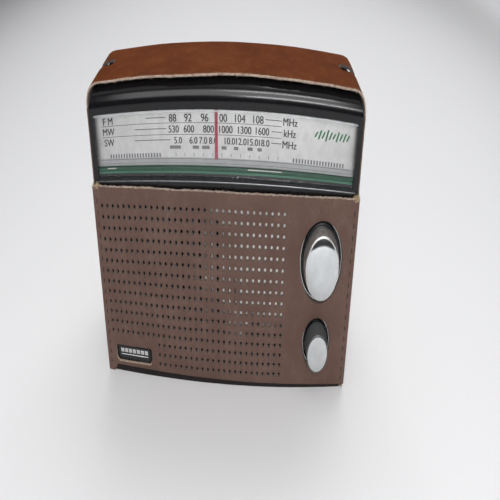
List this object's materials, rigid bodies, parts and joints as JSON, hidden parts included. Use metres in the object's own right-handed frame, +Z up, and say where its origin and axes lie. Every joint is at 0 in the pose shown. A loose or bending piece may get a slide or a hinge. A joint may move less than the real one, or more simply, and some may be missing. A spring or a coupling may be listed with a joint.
{
  "type": "transistor radio",
  "caption": "Portable transistor radio in a perforated leather carrying case, with a wide dial, two front knobs, a back flap over the battery door and a telescopic aerial.",
  "frame": {"origin": "middle of the leather case's base, on the surface it stands on", "axes": "+Z up; +X to the right of the dial as a listener sees it; -Y out of the front panel towards the listener"},
  "size_m": [0.225, 0.077, 0.1334],
  "materials": {
    "leather_taupe": "taupe brown cowhide, satin, fine grain",
    "leather_cognac": "cognac brown leather, smooth, slightly glossy",
    "leather_dark": "dark brown leather, worn",
    "black_plastic": "glossy black moulded plastic",
    "grey_plastic": "dark grey moulded plastic",
    "white_plastic": "natural white plastic",
    "soft_black": "soft black pad",
    "nickel": "nickel-plated steel",
    "aerial_chrome": "chromed brass tube",
    "grille_metal": "satin aluminium sheet",
    "badge_black": "plain gloss black plate",
    "clear_lens": "clear polished plastic",
    "dial_silver": "silver-grey painted scale plate",
    "dial_green": "dark green stripe over black",
    "pointer_red": "red pointer",
    "string": "waxed cord",
    "can_metal": "tinned can",
    "knob_silver": "satin silver cap",
    "brass": "turned brass",
    "grey_metal": "grey painted steel basket",
    "paper": "black paper cone",
    "magnet": "ferrite",
    "board": "phenolic board",
    "blue_sleeve": "sleeved can",
    "copper": "enamelled copper wire",
    "cell_label": "printed steel jacket, plain"
  },
  "bodies": {
    "radio": {"case_front_panel": "leather_taupe", "case_left_gusset": "leather_cognac", "case_right_gusset": "leather_cognac", "case_bottom_panel": "leather_dark", "case_top_band": "leather_cognac", "case_back_frame": "leather_dark", "case_flap_margin": "leather_taupe", "stud_posts": "nickel", "front_cabinet": "black_plastic", "rear_cabinet": "black_plastic", "battery_tray": "grey_plastic", "cells": "cell_label", "battery_contacts": "nickel", "cabinet_screws": "nickel", "grille_plate": "grille_metal", "badge_plate": "badge_black", "dial_lens": "clear_lens", "dial_plate": "dial_silver", "dial_trim": "dial_green", "pointer_rail": "nickel", "pulley_axles": "nickel", "dial_string": "string", "tuning_capacitor": "can_metal", "tuning_bush": "brass", "volume_control": "can_metal", "speaker_frame": "grey_metal", "speaker_cone": "paper", "speaker_magnet": "magnet", "circuit_board": "board", "if_cans": "can_metal", "electrolytics": "blue_sleeve", "ferrite_rod": "magnet", "ferrite_coil": "copper", "ferrite_clips": "white_plastic", "band_switch": "can_metal", "earphone_jack": "nickel", "power_jack": "grey_plastic", "strap_pins": "nickel", "aerial_pivot": "nickel", "aerial_rest": "soft_black"},
    "tuning": {"tuning_shaft": "nickel", "tuning_knob": "knob_silver", "tuning_skirt": "black_plastic"},
    "pointer": {"dial_pointer": "pointer_red"},
    "drum": {"string_drum": "white_plastic"},
    "left_idler": {"left_pulley": "white_plastic"},
    "right_idler": {"right_pulley": "white_plastic"},
    "volume": {"volume_shaft": "nickel", "volume_knob": "knob_silver", "volume_skirt": "black_plastic"},
    "band": {"band_slider": "black_plastic"},
    "door": {"battery_door": "black_plastic"},
    "flap": {"case_back_flap": "leather_taupe", "stud_caps": "nickel"},
    "aerial_base": {"aerial_knuckle": "aerial_chrome"},
    "aerial_1": {"aerial_tube_1": "aerial_chrome"},
    "aerial_2": {"aerial_tube_2": "aerial_chrome"},
    "aerial_3": {"aerial_tube_3": "aerial_chrome"},
    "aerial_4": {"aerial_tube_4": "aerial_chrome"}
  },
  "joints": [
    {"name": "tuning_turn", "type": "hinge", "parent": "radio", "child": "tuning", "pos_m": [0.083, -0.03, 0.0625], "axis": [0, 1, 0], "range_deg": [-744, 744]},
    {"name": "pointer_slide", "type": "slide", "parent": "radio", "child": "pointer", "axis": [1, 0, 0], "range_m": [-0.039, 0.039]},
    {"name": "drum_turn", "type": "hinge", "parent": "radio", "child": "drum", "pos_m": [0.05, -0.024, 0.0625], "axis": [0, 1, 0], "range_deg": [-88, 88]},
    {"name": "left_idler_turn", "type": "hinge", "parent": "radio", "child": "left_idler", "pos_m": [-0.062, -0.0242, 0.1146], "axis": [0, 1, 0], "range_deg": [-450, 450]},
    {"name": "right_idler_turn", "type": "hinge", "parent": "radio", "child": "right_idler", "pos_m": [0.07, -0.0242, 0.1146], "axis": [0, 1, 0], "range_deg": [-450, 450]},
    {"name": "volume_turn", "type": "hinge", "parent": "radio", "child": "volume", "pos_m": [0.083, -0.03, 0.024], "axis": [0, 1, 0], "range_deg": [0, 300]},
    {"name": "band_slide", "type": "slide", "parent": "radio", "child": "band", "axis": [0, 0, 1], "range_m": [-0.009, 0]},
    {"name": "door_slide", "type": "slide", "parent": "radio", "child": "door", "axis": [0, 0, 1], "range_m": [0, 0.0065]},
    {"name": "flap_hinge", "type": "hinge", "parent": "radio", "child": "flap", "pos_m": [0, 0.035, 0.09715], "axis": [1, 0, 0], "range_deg": [0, 85], "stiffness_Nm_per_rad": 0.02, "springref_deg": -8.59},
    {"name": "aerial_fold", "type": "hinge", "parent": "radio", "child": "aerial_base", "pos_m": [0.098, 0.02, 0.119], "axis": [0, 1, 0], "range_deg": [0, 180]},
    {"name": "aerial_tilt", "type": "hinge", "parent": "aerial_base", "child": "aerial_1", "pos_m": [0.098, 0.0255, 0.119], "axis": [0, 0, -1], "range_deg": [0, 85]},
    {"name": "aerial_slide_2", "type": "slide", "parent": "aerial_1", "child": "aerial_2", "axis": [-1, 0, 0], "range_m": [0, 0.13]},
    {"name": "aerial_slide_3", "type": "slide", "parent": "aerial_2", "child": "aerial_3", "axis": [-1, 0, 0], "range_m": [0, 0.13]},
    {"name": "aerial_slide_4", "type": "slide", "parent": "aerial_3", "child": "aerial_4", "axis": [-1, 0, 0], "range_m": [0, 0.13]}
  ],
  "couplings": [
    {"joint": "pointer_slide", "follows": "tuning_turn", "m_per_rad": 0.003},
    {"joint": "drum_turn", "follows": "tuning_turn", "ratio": 0.11765},
    {"joint": "left_idler_turn", "follows": "tuning_turn", "ratio": 0.6},
    {"joint": "right_idler_turn", "follows": "tuning_turn", "ratio": 0.6},
    {"joint": "aerial_slide_3", "follows": "aerial_slide_2", "ratio": 1},
    {"joint": "aerial_slide_4", "follows": "aerial_slide_2", "ratio": 1}
  ]
}
